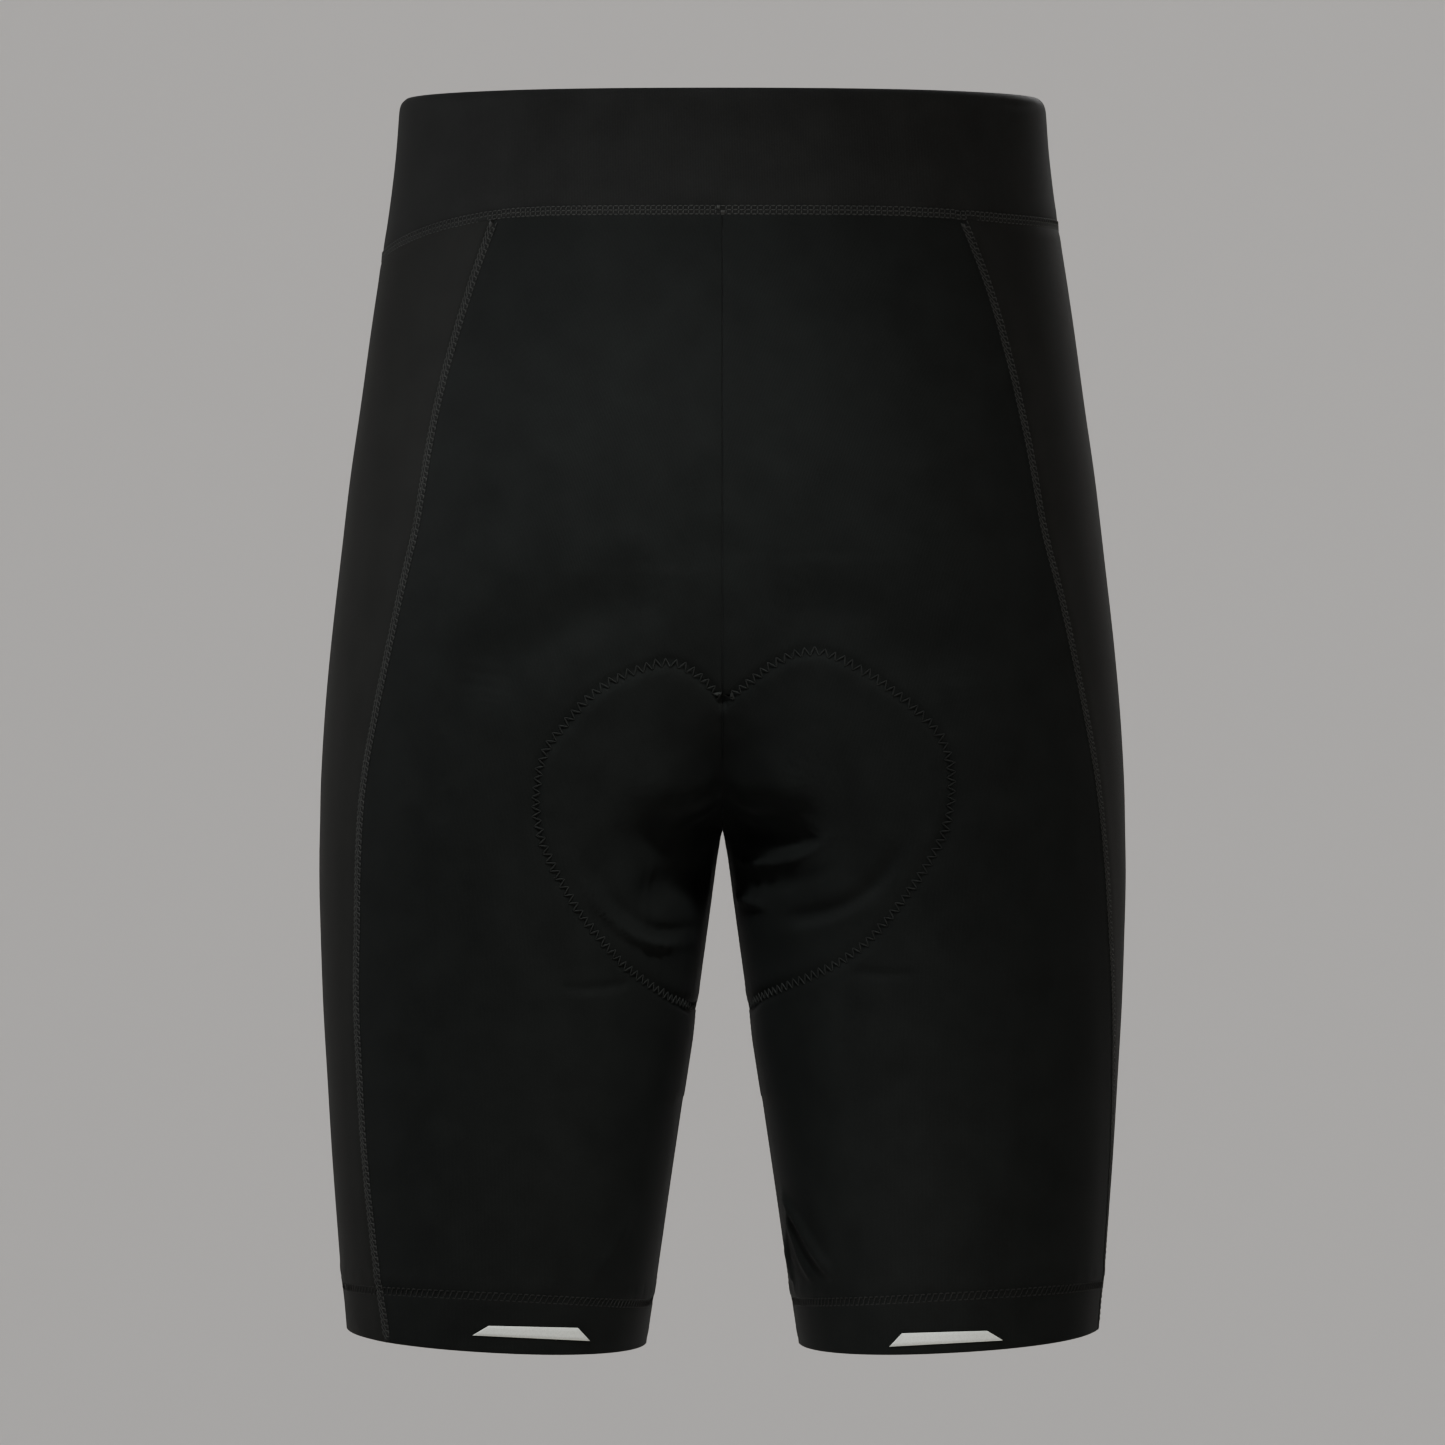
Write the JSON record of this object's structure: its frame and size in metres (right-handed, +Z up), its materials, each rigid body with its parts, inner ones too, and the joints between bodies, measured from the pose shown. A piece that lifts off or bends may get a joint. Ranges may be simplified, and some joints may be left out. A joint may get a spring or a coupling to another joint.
{
  "type": "cycling shorts",
  "caption": "Above-knee stretch cycling shorts with wide waistband, panelled legs, sewn-in seat pad and reflective hem films, filled out and hollow.",
  "frame": {"origin": "centre of the waist opening at the upper edge of the waistband", "axes": "+Z up towards the wearer's head, +Y towards the wearer's front, +X towards the wearer's right"},
  "size_m": [0.3588, 0.224, 0.5519],
  "materials": {
    "body_knit": "matte black stretch warp knit with a faint sheen",
    "band_knit": "matte black double stretch knit",
    "pad_foam": "brushed dark grey microfibre over foam",
    "reflective_film": "pale grey glass-bead reflective film"
  },
  "bodies": {
    "root": {"waistband": "band_knit", "back_left": "body_knit", "back_right": "body_knit", "side_left": "body_knit", "side_right": "body_knit", "front_left": "body_knit", "front_right": "body_knit", "seat_pad": "pad_foam", "reflective_film_left": "reflective_film", "reflective_film_right": "reflective_film"}
  },
  "joints": []
}
